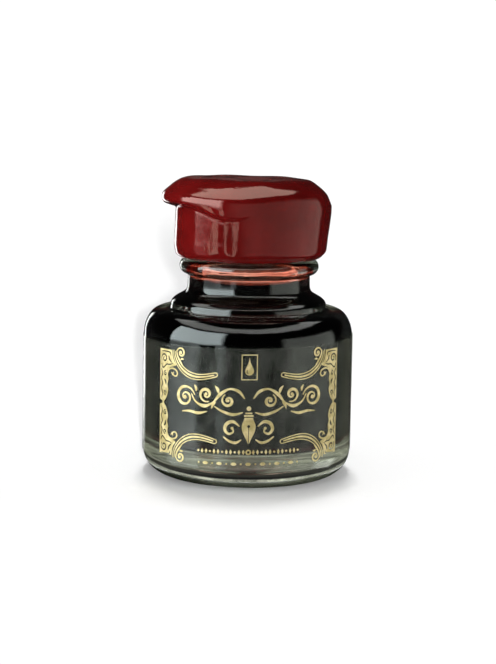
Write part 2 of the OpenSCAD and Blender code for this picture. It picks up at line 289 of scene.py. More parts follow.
def ink_material():
    m = Mat("ink_liquid")
    vec, x, y, z = m.pos()
    geo = m.t.nodes.new("ShaderNodeNewGeometry")
    rad = m.math("SQRT", m.math("ADD", m.math("MULTIPLY", x, x), m.math("MULTIPLY", y, y)))
    # The faces against the glass pass light straight on; the open surface and the film's air side refract.
    near_bore = m.math("GREATER_THAN", rad, RB - 0.1)
    low = m.math("LESS_THAN", z, INK_Z - 0.5)
    wall = m.math("MAXIMUM", near_bore, low)
    ripple = m.bump(m.noise(vec, 1.1, 3.0), 0.15, 0.0004)
    free = m.n("ShaderNodeBsdfGlass", Color=(1, 1, 1), Roughness=0.0, IOR=1.335, Normal=ripple).outputs[0]
    clear = m.n("ShaderNodeBsdfTransparent").outputs[0]
    # Beer's law: coral red in a thin film, black in the bulk.
    streak = m.noise(m.stretch(vec, (1.0, 1.0, 0.35)), 0.5, 3.0)
    dens = m.smooth(0.25, 0.75, streak, 0.75, 1.3)
    vol = m.n("ShaderNodeVolumeAbsorption", Color=(0.915, 0.26, 0.05))
    m.set(vol, "Density", 4000.0)
    # the film that clings to the neck is a little cloudy
    coat = m.math("MULTIPLY", m.smooth(INK_Z + 0.9, INK_Z + 1.6, z), m.math("SUBTRACT", 1.0, near_bore))
    cloud = m.n("ShaderNodeBsdfDiffuse", Color=(0.62, 0.24, 0.17)).outputs[0]
    free = m.mix(m.math("MULTIPLY", coat, m.smooth(0.35, 0.7, streak, 0.05, 0.24)), free, cloud)
    # painted glow: the film's air side emits coral light, standing in for light from behind shining through it
    lit = m.math("MULTIPLY", m.math("MULTIPLY", m.math("GREATER_THAN", z, INK_Z + 0.45), m.math("SUBTRACT", 1.0, geo.outputs["Backfacing"])),
                 m.math("SUBTRACT", 1.0, near_bore))
    lit = m.math("MULTIPLY", lit, m.smooth(0.3, 0.7, streak, 0.55, 0.95))
    painted_glow = m.n("ShaderNodeEmission", Color=(0.92, 0.42, 0.32), Strength=lit)
    free = m.n("ShaderNodeAddShader", i0=free, i1=painted_glow).outputs[0]
    return m.done(m.mix(wall, free, clear), vol.outputs[0])


MAT_INK = ink_material()


def film_material():
    m = Mat("label_clear_film")
    vec, x, y, z = m.pos()
    blot = m.noise(m.stretch(vec, (1.0, 1.0, 0.4)), 0.34, 5.0, 0.68)
    fine = m.noise(vec, 4.0, 3.0, 0.6)
    grain = m.math("ADD", m.math("MULTIPLY", blot, 0.8), m.math("MULTIPLY", fine, 0.2))
    nrm = m.bump(grain, 0.5, 0.00008)
    rough = m.smooth(0.35, 0.65, grain, 0.12, 0.22)
    fres = m.math("MULTIPLY", m.n("ShaderNodeFresnel", IOR=1.45).outputs[0], m.smooth(0.3, 0.65, grain, 0.3, 0.8))
    fres = m.math("MINIMUM", fres, 0.06)
    gloss = m.n("ShaderNodeBsdfGlossy", Color=(1, 1, 1), Roughness=rough, Normal=nrm).outputs[0]
    haze = m.n("ShaderNodeBsdfDiffuse", Color=(0.74, 0.80, 0.68)).outputs[0]
    clear = m.n("ShaderNodeBsdfTransparent", Color=(0.96, 0.97, 0.95)).outputs[0]
    base = m.mix(m.smooth(0.3, 0.7, grain, 0.004, 0.040), clear, haze)
    # seen edge-on, the film and the glass wall behind it look milky
    side = m.n("ShaderNodeLayerWeight", Blend=0.5).outputs["Facing"]
    milk = m.n("ShaderNodeBsdfDiffuse", Color=(0.62, 0.60, 0.34)).outputs[0]
    base = m.mix(m.smooth(0.45, 0.85, side, 0.0, 0.025), base, milk)
    fres = m.math("ADD", fres, m.smooth(0.77, 0.86, side, 0.0, 0.45))
    return m.done(m.mix(fres, base, gloss))


def adhesive_material():
    m = Mat("label_adhesive_layer")
    vec, x, y, z = m.pos()
    cells = m.n("ShaderNodeTexVoronoi", Vector=vec, Scale=0.9).outputs["Distance"]
    f = m.smooth(0.0, 0.7, m.math("MULTIPLY", cells, m.noise(vec, 0.35, 3.0)), 0.0, 0.016)
    haze = m.n("ShaderNodeBsdfDiffuse", Color=(0.8, 0.8, 0.72)).outputs[0]
    clear = m.n("ShaderNodeBsdfTransparent", Color=(0.985, 0.985, 0.97)).outputs[0]
    return m.done(m.mix(f, clear, haze))


def foil_material():
    m = Mat("gold_foil")
    vec, x, y, z = m.pos()
    g1 = m.noise(vec, 0.55, 4.0, 0.65)
    g2 = m.noise(vec, 3.0, 4.0, 0.7)
    nrm = m.bump(g2, 0.6, 0.00006)
    col = m.mixc(m.smooth(0.35, 0.65, g1), (0.82, 0.70, 0.36), (0.52, 0.42, 0.17))
    rough = m.smooth(0.3, 0.7, g2, 0.30, 0.48)
    p = m.n("ShaderNodeBsdfPrincipled", Base__Color=col, Metallic=0.45, Roughness=rough, Normal=nrm)
    return m.done(p.outputs[0])


def wax_material():
    m = Mat("sealing_wax")
    vec, x, y, z = m.pos()
    slow = m.noise(vec, 0.12, 3.0, 0.55)
    mid = m.noise(m.stretch(vec, (1, 1, 0.45)), 0.45, 3.0, 0.5)
    fine = m.noise(vec, 2.6, 4.0, 0.6)
    h = m.math("ADD", m.math("MULTIPLY", mid, 1.0), m.math("MULTIPLY", fine, 0.008))
    nrm = m.bump(h, 0.13, 0.0006)
    col = m.mixc(m.smooth(0.3, 0.7, slow), (0.140, 0.0045, 0.0045), (0.100, 0.0035, 0.0032))
    rough = m.smooth(0.3, 0.75, m.noise(vec, 0.8, 4.0, 0.6), 0.06, 0.11)
    p = m.n("ShaderNodeBsdfPrincipled", Base__Color=col, Roughness=rough, Normal=nrm)
    m.set(p, "IOR", 1.46)
    m.set(p, "Subsurface Weight", 0.12)
    m.set(p, "Subsurface Radius", (1.0, 0.12, 0.08))
    m.set(p, "Subsurface Scale", 0.0012)
    return m.done(p.outputs[0])


def moulded_plastic(name, dark, light, rough0, rough1):
    m = Mat(name)
    vec, x, y, z = m.pos()
    n1 = m.noise(vec, 1.2, 4.0, 0.6)
    n2 = m.noise(vec, 9.0, 2.0, 0.5)
    nrm = m.bump(n2, 0.3, 0.00004)
    col = m.mixc(m.smooth(0.3, 0.7, n1), dark, light)
    p = m.n("ShaderNodeBsdfPrincipled", Base__Color=col, Roughness=m.smooth(0.3, 0.7, n1, rough0, rough1), Normal=nrm)
    return m.done(p.outputs[0])


def board_material():
    m = Mat("pulp_board")
    vec, x, y, z = m.pos()
    n1 = m.noise(m.stretch(vec, (1, 1, 6)), 2.0, 5.0, 0.7)
    n2 = m.noise(vec, 14.0, 3.0, 0.6)
    col = m.mixc(m.smooth(0.3, 0.7, n1), (0.62, 0.52, 0.38), (0.76, 0.67, 0.51))
    nrm = m.bump(m.math("ADD", n1, m.math("MULTIPLY", n2, 0.5)), 0.6, 0.00012)
    p = m.n("ShaderNodeBsdfPrincipled", Base__Color=col, Roughness=0.9, Normal=nrm)
    return m.done(p.outputs[0])


def liner_foil_material():
    m = Mat("liner_facing_foil")
    vec, x, y, z = m.pos()
    rad = m.math("SQRT", m.math("ADD", m.math("MULTIPLY", x, x), m.math("MULTIPLY", y, y)))
    # The ring that the rim presses into the facing.
    ring = m.math("MULTIPLY", m.smooth(10.3, 10.9, rad), m.smooth(11.7, 12.4, rad, 1.0, 0.0))
    n1 = m.noise(vec, 0.6, 4.0, 0.6)
    h = m.math("ADD", m.math("MULTIPLY", ring, 1.0), m.math("MULTIPLY", n1, 0.35))
    nrm = m.bump(h, 0.5, 0.00012)
    stain = m.smooth(0.52, 0.66, m.noise(vec, 0.28, 3.0, 0.6))
    col = m.mixc(m.math("MULTIPLY", stain, 0.55), (0.78, 0.78, 0.79), (0.42, 0.03, 0.03))
    p = m.n("ShaderNodeBsdfPrincipled", Base__Color=col, Metallic=0.85, Roughness=m.smooth(0.3, 0.7, n1, 0.22, 0.4), Normal=nrm)
    return m.done(p.outputs[0])


MAT_FILM = film_material()
MAT_ADH = adhesive_material()
MAT_FOIL = foil_material()
MAT_WAX = wax_material()
MAT_CAP = moulded_plastic("cap_moulding", (0.020, 0.020, 0.022), (0.032, 0.031, 0.033), 0.32, 0.45)
MAT_BOARD = board_material()
MAT_LINER = liner_foil_material()

# ------------------------------------------------------------------ bottle
NSEG = 224
outer = [(14.2 * i / 14, 1.3 * (0.5 + 0.5 * cos(pi * i / 14))) for i in range(15)]
outer += [(15.2, 0.0), (16.2, 0.0)]
outer += arc(R - 5, 5, 5, 5, -90, 0, 22)
outer += [(R, 5 + 24.5 * i / 12) for i in range(1, 12)]
outer += arc(R - 5.8, 29.5, 5.8, 6.4, 0, 45, 26)
outer += catmull([(19.8, 34.38), (19.25, 34.64), (18.6, 34.82), (17.95, 34.88), (17.35, 34.86), (16.9, 34.86), (16.6, 34.98), (16.44, 35.24), (16.38, 35.6), (16.34, 36.0),
                  (16.24, 36.34), (16.04, 36.64), (15.74, 36.92), (15.36, 37.2), (14.88, 37.48), (14.34, 37.78), (13.8, 38.1), (13.38, 38.44), (13.1, 38.84), (12.94, 39.3),
                  (12.87, 39.9), (12.85, 40.6), (12.85, 41.4), (12.86, 41.8), (12.96, 42.08), (13.18, 42.24)], 3)
outer += arc(RBEAD - 1.62, 43.85, 1.62, 1.62, -76, 76, 30)
outer += [(13.15, 45.47), (12.84, 45.5), (12.64, 45.58)]
n_before_finish = len(outer)
outer += [(ROOT, 45.7 + 11.4 * i / 76) for i in range(77)]
n_after_finish = len(outer)
outer += arc(ROOT - 0.9, RIM_Z - 0.9, 0.9, 0.9, 10, 90, 9)
outer += arc(RB + 0.6, RIM_Z - 0.6, 0.6, 0.6, 90, 180, 9)
n_outer = len(outer)
ri = R - 2.9
inner_top = [(RB, RIM_Z - 0.6 - (RIM_Z - 0.6 - FILM_Z) * i / 6) for i in range(1, 7)]
inner_wet = [(RB, FILM_Z - (FILM_Z - 39.6) * i / 18) for i in range(1, 19)]
inner_wet += catmull([(RB, 39.6), (RB + 0.12, 38.4), (RB + 0.7, 37.3), (RB + 1.9, 35.85), (RB + 3.4, 34.98)], 5)[1:]
inner_wet += arc(RB + 2.6, 29.3, ri - RB - 2.6, 5.7, 79, 0, 22)
inner_wet += [(ri, 29.3 - 19.6 * i / 12) for i in range(1, 12)]
inner_wet += arc(ri - 3.2, 9.7, 3.2, 3.2, 0, -86, 14)
inner_wet += [((ri - 3.4) * (1 - i / 12), 6.5 + 0.7 * (1 - (1 - i / 12) ** 2)) for i in range(13)][1:]
inner_wet = [tuple(map(float, p)) for p in inner_wet]


def inner_wave(r, z, th):
    """Blown glass is never quite even inside."""
    k = ease(8.0, 12.0, z) * (1 - ease(33.5, 36.5, z))
    w = 0.10 * sin(2 * th + 0.7) + 0.07 * sin(3 * th + 1.9 + z * 0.08) + 0.04 * sin(5 * th - z * 0.16)
    floor = (1 - ease(7.4, 9.0, z)) * ease(2.0, 12.0, r)
    return w * k, floor * (0.16 * sin(th * 2 + 0.5) + 0.10 * sin(3 * th + 2.1) + 0.05 * sin(7 * th))


def thread_lift(th, z):
    """Radius the thread adds at this angle and height."""
    best = 0.0
    for k in range(0, 3):
        turn = (th / (2 * pi)) % 1.0 + k
        if turn > THREAD_TURNS:
            continue
        zc = THREAD_Z0 + PITCH * turn
        d = abs(z - zc)
        fade = min(1.0, min(turn, THREAD_TURNS - turn) / 0.125 + 0.02)
        fade = fade * fade * (3 - 2 * fade)
        top = (CREST - ROOT) * fade
        half0, half1 = 0.55, 1.16
        t = 1 - ease(half0 * 0.8, half1 * 1.02, d)
        best = max(best, top * t)
    return best


rows = []
for j, (r, z) in enumerate(outer):
    if r < 1e-6:
        rows.append([(0.0, 0.0, z)])
        continue
    ring = []
    for i in range(NSEG):
        th = 2 * pi * i / NSEG
        rr = r
        if n_before_finish <= j < n_after_finish:
            rr = r + thread_lift(th, z)
        elif 5.0 < z < 41.0:
            # the two parting lines of the mould, given zero height here, so they change nothing
            seam = math.exp(-((math.sin(th) * R) / 0.28) ** 2)
            rr = r + 0.0 * seam
        ring.append((rr * cos(th), rr * sin(th), z))
    rows.append(ring)
wet_from = None
for j, (r, z) in enumerate(inner_top + inner_wet):
    if j == len(inner_top):
        wet_from = len(rows) - 1
    if r < 1e-6:
        rows.append([(0.0, 0.0, z)])
        continue
    ring = []
    for i in range(NSEG):
        th = 2 * pi * i / NSEG
        dr, dz = inner_wave(r, z, th)
        ring.append(((r + dr) * cos(th), (r + dr) * sin(th), z + dz))
    rows.append(ring)
verts, faces, row_of = loft(rows, NSEG)
face_mats = [1 if j >= wet_from else 0 for j in row_of]
bottle = new_object("glass_bottle", verts, faces, "glass", ("bottle",), face_mats=face_mats, mats=(MAT_GLASS, MAT_GLASS_WET))

# ------------------------------------------------------------------ ink
G = 0.02
ink_rows = [[(0.0, 0.0, INK_Z)]]
surface = [(2.0, INK_Z), (4.0, INK_Z), (6.0, INK_Z), (7.6, INK_Z + 0.01), (8.7, INK_Z + 0.06), (9.3, INK_Z + 0.18), (9.62, INK_Z + 0.38),
           (9.82, INK_Z + 0.65), (RB - FILM_T - 0.07, INK_Z + 1.0), (RB - FILM_T - 0.03, INK_Z + 1.6)]
surface += [(RB - FILM_T - G, INK_Z + 1.6 + (FILM_Z - 0.25 - INK_Z - 1.6) * i / 10) for i in range(1, 11)]
surface += [(RB - FILM_T * 0.6 - G, FILM_Z - 0.1), (RB - G - 0.015, FILM_Z - 0.04)]
for r, z in surface:
    # the film is uneven where it drained
    k = ease(INK_Z + 1.0, INK_Z + 2.4, z) * (1 - ease(FILM_Z - 0.5, FILM_Z - 0.1, z))
    ink_rows.append([((r + k * (0.05 * sin(3 * th + 1) + 0.03 * sin(7 * th + z) + 0.02 * sin(11 * th - 2 * z))) * cos(th),
                      (r + k * (0.05 * sin(3 * th + 1) + 0.03 * sin(7 * th + z) + 0.02 * sin(11 * th - 2 * z))) * sin(th), z)
                     for th in (2 * pi * i / NSEG for i in range(NSEG))])
prev = None
for r, z in inner_wet:
    if z > FILM_Z - 0.1:
        continue
    if r < 1e-6:
        ink_rows.append([(0.0, 0.0, z + G)])
        continue
    ring = []
    for i in range(NSEG):
        th = 2 * pi * i / NSEG
        dr, dz = inner_wave(r, z, th)
        ring.append(((r + dr - G) * cos(th), (r + dr - G) * sin(th), z + dz + (G if z < 12 else 0)))
    ink_rows.append(ring)
ink_rows = ink_rows[::-1]
verts, faces, _ = loft(ink_rows, NSEG)
ink = new_object("ink_fill", verts, faces, "glass", ("ink",), mats=(MAT_INK,))

# ------------------------------------------------------------------ wax hood
NW = 256
keys = [0, 30, 60, 90, 120, 145, 165, 180, 195, 210, 222, 234, 245, 255, 263, 270, 278, 290, 310, 335]
A_t = [0, 0, 0, 0, 0.25, 0.9, 2.1, 2.8, 2.8, 2.35, 1.95, 1.6, 1.25, 0.9, 0.5, 0.16, 0.02, 0, 0, 0]
E_t = [56, 56, 56, 56.2, 56.4, 56.5, 56.4, 56.3, 56.6, 56.8, 56.75, 56.1, 55.1, 54.6, 54.7, 55.2, 55.7, 56, 56, 56]
LO_t = [16.25, 16.2, 16.1, 16.1, 16.1, 16.0, 15.9, 15.85, 15.85, 15.9, 15.95, 16.0, 16.0, 16.05, 16.05, 16.05, 16.1, 16.1, 16.2, 16.25]
HI_t = [17.1, 16.9, 16.7, 16.6, 16.4, 16.1, 15.75, 15.6, 15.65, 15.8, 15.95, 16.1, 16.2, 16.3, 16.35, 16.4, 16.5, 16.6, 16.85, 17.05]
TOP_t = [0.0, 0.0, 0.0, 0.05, 0.1, 0.2, 0.3, 0.35, 0.35, 0.3, 0.3, 0.25, 0.2, 0.15, 0.1, 0.05, 0.0, 0.0, -0.05, -0.05]


def periodic(table, a):
    a = a % 360.0
    n = len(keys)
    for i in range(n):
        k0, k1 = keys[i], keys[i + 1] if i + 1 < n else 360
        if k0 <= a <= k1:
            t = (a - k0) / (k1 - k0)
            p0, p1, p2, p3 = table[i - 1], table[i], table[(i + 1) % n], table[(i + 2) % n]
            km, kp = keys[i - 1] - (360 if i == 0 else 0), (keys[(i + 2) % n] + (360 if i + 2 >= n else 0))
            m1 = (p2 - p0) / (k1 - km) * (k1 - k0)
            m2 = (p3 - p1) / (kp - k0) * (k1 - k0)
            return (2 * t ** 3 - 3 * t ** 2 + 1) * p1 + (t ** 3 - 2 * t ** 2 + t) * m1 + (-2 * t ** 3 + 3 * t ** 2) * p2 + (t ** 3 - t ** 2) * m2
    return table[0]


RIGHT_EDGE = [(57.0, -0.12), (57.7, -0.40), (58.9, -0.95), (59.6, -1.55), (60.3, -2.3), (60.95, -3.15), (61.5, -3.95), (61.95, -4.9), (62.15, -6.6)]
FRONT_EDGE = [(57.3, -0.03), (58.1, -0.16), (58.95, -0.45), (59.7, -0.86), (60.4, -1.36), (61.05, -1.92), (61.65, -2.58), (62.08, -3.5), (62.28, -5.4)]
LEFT_EDGE = [(58.4, 0.0), (58.9, -0.08), (59.4, -0.42), (59.9, -0.98), (60.45, -1.65), (61.0, -2.3), (61.55, -3.15), (62.05, -4.3), (62.35, -6.0)]
TIGHT_EDGE = [(57.7, -0.02), (58.8, -0.10), (59.7, -0.28), (60.35, -0.62), (60.9, -1.05), (61.4, -1.62), (61.8, -2.3), (62.15, -3.25), (62.3, -5.3)]
# how much of the right and of the left edge shape there is at each angle
W_R = [1, 1, 0.9, 0.75, 0.5, 0.2, 0, 0, 0, 0, 0, 0, 0, 0, 0, 0, 0, 0.0, 0.1, 0.55]
W_T = [0.1, 0, 0, 0, 0, 0, 0, 0, 0, 0, 0, 0, 0, 0, 0, 0.1, 0.25, 0.6, 0.85, 0.4]
W_L = [0, 0, 0, 0, 0.3, 0.7, 1, 1, 1, 0.95, 0.85, 0.7, 0.55, 0.42, 0.3, 0.2, 0.1, 0, 0, 0]


def wax_profile(a):
    A = max(periodic(A_t, a), 0.0)
    ze = periodic(E_t, a)
    lo, hi = periodic(LO_t, a), periodic(HI_t, a)
    wr, wl = min(max(periodic(W_R, a), 0), 1), min(max(periodic(W_L, a), 0), 1)
    wt = min(max(periodic(W_T, a), 0), 1 - wr - wl)
    rs = lambda z: lo + (hi - lo) * ease(47.0, 56.5, z)
    k = min(A / 0.8, 1.0)
    p = [(14.62, 45.75), (15.02, 45.95), (15.45, 46.35), (lo - 0.18, 47.1), (rs(48.3), 48.3), (rs(50.2), 50.2), (rs(52.2), 52.2),
         (rs(ze - 1.2), ze - 1.2), (rs(ze - 0.3) + 0.02 * A, ze - 0.3), (rs(ze) + 0.36 * A, ze + 0.16 - 0.08 * k),
         (rs(ze + 0.5) + 0.80 * A, ze + 0.55)]
    rn = rs(ze + 1) + A
    wf = 1 - wr - wl - wt
    edge = [[z0 * wr + z1 * wl + z2 * wf + z3 * wt, d0 * wr + d1 * wl + d2 * wf + d3 * wt]
            for (z0, d0), (z1, d1), (z2, d2), (z3, d3) in zip(RIGHT_EDGE, LEFT_EDGE, FRONT_EDGE, TIGHT_EDGE)]
    p.append((rn - 0.02, 0.5 * (ze + 0.55 + edge[0][0])))
    p += [(rn + d, z) for z, d in edge]
    r2, z2 = p[-1]
    p += [(r2 * 0.72, z2 + 0.04), (r2 * 0.42, z2 + 0.05), (r2 * 0.2, z2 + 0.05)]
    return p


def wax_lumps(th, z, r):
    """Slow waves where the wax ran and set."""
    side = ease(46.5, 48.5, z) * (1 - ease(55.0, 57.5, z))
    a = th / D2R
    w = 0.0
    # upright ripples on the front left
    for c, wd, hgt in ((247, 5.0, 0.10), (258, 4.0, -0.10), (236, 5.0, -0.05), (283, 12, 0.06), (318, 8, -0.06), (12, 14, 0.05), (95, 16, 0.10), (140, 12, -0.08)):
        d = (a - c + 180) % 360 - 180
        w += hgt * math.exp(-(d / wd) ** 2)
    top = ease(57.5, 60.5, z)
    t = 0.10 * sin(2 * th + 0.6) + 0.06 * sin(3 * th - 0.9) + 0.04 * sin(5 * th + 2.0)
    return w * side + t * top * min(r / 12.0, 1.0)


wax_rows_by_angle = []
for i in range(NW):
    a = 360.0 * i / NW
    wax_rows_by_angle.append(catmull(wax_profile(a), 5))
m_rows = len(wax_rows_by_angle[0])
wrows = []
for j in range(m_rows):
    ring = []
    for i in range(NW):
        th = 2 * pi * i / NW
        r, z = wax_rows_by_angle[i][j]
        r += wax_lumps(th, z, r)
        zz = z
        if z > 60.5:
            zz = z + 0.14 * sin(0.42 * r * cos(th) + 1.1) * sin(0.36 * r * sin(th) + 0.4) * ease(60.5, 62, z)
        if j == 0:
            zz = 45.75
        ring.append((r * cos(th), r * sin(th), zz))
    wrows.append(ring)
# inside of the hood, which fits over the ribbed cap
avg_top = float(np.mean([p[2] for p in wrows[-1]]))
outer_rows = wrows + [[(0.0, 0.0, avg_top)]]
CAP_R = 14.9
cavity = [(14.06, 45.78), (14.06, 46.56), (14.915, 46.565), (14.925, 59.2), (14.2, 60.0), (13.35, 60.62), (7.0, 60.63)]
inner_rows = [[(r * cos(2 * pi * i / NW), r * sin(2 * pi * i / NW), z) for i in range(NW)] for r, z in cavity] + [[(0.0, 0.0, 60.63)]]
rows = inner_rows[::-1] + outer_rows
verts, faces, _ = loft(rows, NW)
wax = new_object("wax_dip", verts, faces, "cap", ("wax_hood",), mats=(MAT_WAX,))
sharpen(wax, 50)

# ------------------------------------------------------------------ label film and adhesive
def wrap_layer(name, r0, r1, inset, replaces, mat):
    n, m = 240, 10
    half = (1.0 + inset) / R
    verts, faces = [], []
    for k, r in enumerate((r0, r1)):
        for i in range(n + 1):
            th = pi / 2 + half + (2 * pi - 2 * half) * i / n
            x = r * cos(th)
            zc = LABEL_MID + x * math.tan(SKEW)
            for j in range(m + 1):
                # corners of the label are slightly rounded
                hh = LABEL_H / 2 - inset
                e = min(i, n - i) / n * (2 * pi - 2 * half) * R
                rc = 1.2
                if e < rc:
                    hh -= rc - math.sqrt(max(rc * rc - (rc - e) ** 2, 0))
                verts.append((x, r * sin(th), zc + hh * (2 * j / m - 1)))
    W = m + 1
    off = (n + 1) * W
    for i in range(n):
        for j in range(m):
            a = i * W + j
            faces.append((a, a + 1, a + W + 1, a + W))
            faces.append((off + a, off + a + W, off + a + W + 1, off + a + 1))
    for i in range(n):
        a = i * W
        faces.append((a, a + W, off + a + W, off + a))
        a = i * W + m
        faces.append((a, off + a, off + a + W, a + W))
    for j in range(m):
        a = j
        faces.append((a, off + a, off + a + 1, a + 1))
        a = n * W + j
        faces.append((a, a + 1, off + a + 1, off + a))
    ob = new_object(name, verts, faces, "glass", (replaces,), mats=(mat,))
    sharpen(ob, 40)
    return ob


wrap_layer("label_adhesive_coat", R + 0.012, R + 0.06, 0.15, "label_adhesive", MAT_ADH)
wrap_layer("label_film_wrap", FILM_IN, FILM_OUT, 0.0, "label_film", MAT_FILM)


# ------------------------------------------------------------------ foil art
class Art:
    """Flat shapes, s along the body and y up from the label's middle, added and cut, then pressed on the film."""
    def __init__(self):
        self.pos, self.neg = [], []

    def poly(self, p, cut=False):
        q = [(float(a), float(b)) for a, b in p]
        area = sum(q[i][0] * q[(i + 1) % len(q)][1] - q[(i + 1) % len(q)][0] * q[i][1] for i in range(len(q)))
        if area < 0:
            q = q[::-1]
        (self.neg if cut else self.pos).append(q)

    def stroke(self, pts, w, cut=False, cap=True, steps=6, flip=(1, 1)):
        """A pen stroke: a smooth line through pts, with width w given as numbers spread along it."""
        c = catmull([(p[0] * flip[0], p[1] * flip[1]) for p in pts], steps) if steps > 1 else [np.array((p[0] * flip[0], p[1] * flip[1]), float) for p in pts]
        n = len(c) - 1
        ws = np.interp(np.linspace(0, 1, n + 1), np.linspace(0, 1, len(w)), w) if hasattr(w, "__len__") else np.full(n + 1, w)
        quads = []
        side = []
        for i in range(n + 1):
            d = c[min(i + 1, n)] - c[max(i - 1, 0)]
            d = d / max(np.hypot(*d), 1e-9)
            side.append(np.array((-d[1], d[0])))
        for i in range(n):
            a, b = c[i] + side[i] * ws[i] / 2, c[i + 1] + side[i + 1] * ws[i + 1] / 2
            e, f = c[i + 1] - side[i + 1] * ws[i + 1] / 2, c[i] - side[i] * ws[i] / 2
            self.poly([a, f, e, b], cut)
        if cap:
            for q, ww in ((c[0], ws[0]), (c[-1], ws[-1])):
                self.disc(q, ww / 2, cut, 10)

    def disc(self, c, r, cut=False, n=14, sy=1.0):
        self.poly([(c[0] + r * cos(2 * pi * i / n), c[1] + sy * r * sin(2 * pi * i / n)) for i in range(n)], cut)

    def build(self, name, replaces):
        verts, faces = [], []
        for q in self.pos + self.neg:
            base = len(verts)
            verts += [Vector(p) for p in q]
            faces.append(list(range(base, base + len(q))))
        npos = len(self.pos)
        lo = np.min([tuple(v) for v in verts], 0)
        hi = np.max([tuple(v) for v in verts], 0)
        gs = 0.8
        gx = np.arange(lo[0] - 0.137, hi[0] + gs, gs)
        gy = np.arange(lo[1] - 0.211, hi[1] + 2.4, 2.4)
        for a in gx:
            for k, b in enumerate(gy):
                verts.append(Vector((float(a), float(b) + 0.013 * (k % 2))))
        V, E, F, ov, oe, of = delaunay_2d_cdt(verts, [], faces, 0, 1e-5, True)
        keep = []
        for f, src in zip(F, of):
            if any(k < npos for k in src) and not any(k >= npos for k in src):
                keep.append(tuple(f))
        used = sorted(set(i for f in keep for i in f))
        idx = {v: i for i, v in enumerate(used)}
        P = []
        ca, sa = cos(SKEW), sin(SKEW)
        for r in (FOIL_IN, FOIL_OUT):
            for v in used:
                s, y = V[v][0], V[v][1]
                th = (s + PRINT_SHIFT) / FOIL_OUT
                x = r * sin(th)
                P.append((x, -r * cos(th), LABEL_MID + y + x * math.tan(SKEW)))
        nv = len(used)
        edge_count = {}
        out = []
        for f in keep:
            g = [idx[i] for i in f]
            a2 = sum(V[f[i]][0] * V[f[(i + 1) % len(f)]][1] - V[f[(i + 1) % len(f)]][0] * V[f[i]][1] for i in range(len(f)))
            if a2 < 0:
                g = g[::-1]
            out.append(tuple(nv + i for i in g))
            out.append(tuple(g[::-1]))
            for i in range(len(g)):
                e = (g[i], g[(i + 1) % len(g)])
                edge_count[e] = edge_count.get(e, 0) + 1
        for (a, b) in edge_count:
            if (b, a) not in edge_count:
                out.append((a, b, nv + b, nv + a))
        ob = new_object(name, P, out, "glass", (replaces,), smooth=False, mats=(MAT_FOIL,))
        return ob


def spiral(c, r0, r1, a0, sweep, n=22):
    return [(c[0] + (r0 + (r1 - r0) * i / n) * cos((a0 + sweep * i / n) * D2R), c[1] + (r0 + (r1 - r0) * i / n) * sin((a0 + sweep * i / n) * D2R)) for i in range(n + 1)]


def leaf(art, base, ang, length, width, flip=(1, 1), cut=False):
    n = 9
    ca, sa = cos(ang * D2R), sin(ang * D2R)
    up, dn = [], []
    for i in range(n + 1):
        t = i / n
        h = width / 2 * (sin(pi * t ** 0.8)) ** 0.9
        bend = 0.12 * length * sin(pi * t)
        for lst, s in ((up, 1), (dn, -1)):
            x, y = t * length, bend + s * h
            lst.append(((base[0] + x * ca - y * sa) * flip[0], (base[1] + x * sa + y * ca) * flip[1]))
    art.poly(up + dn[::-1][1:-1], cut)


def horn(art, flip):
    path = [(-15.8, 11.1), (-15.35, 9.5), (-13.9, 7.7), (-11.9, 6.3), (-9.6, 5.75), (-6.5, 6.3)]
    art.stroke(path, [1.35, 1.45, 1.5, 1.55, 1.5, 1.35], flip=flip, steps=8)
    art.stroke(path, [1.05, 1.15, 1.2, 1.25, 1.2, 1.05], cut=False, flip=flip, steps=8, cap=False)


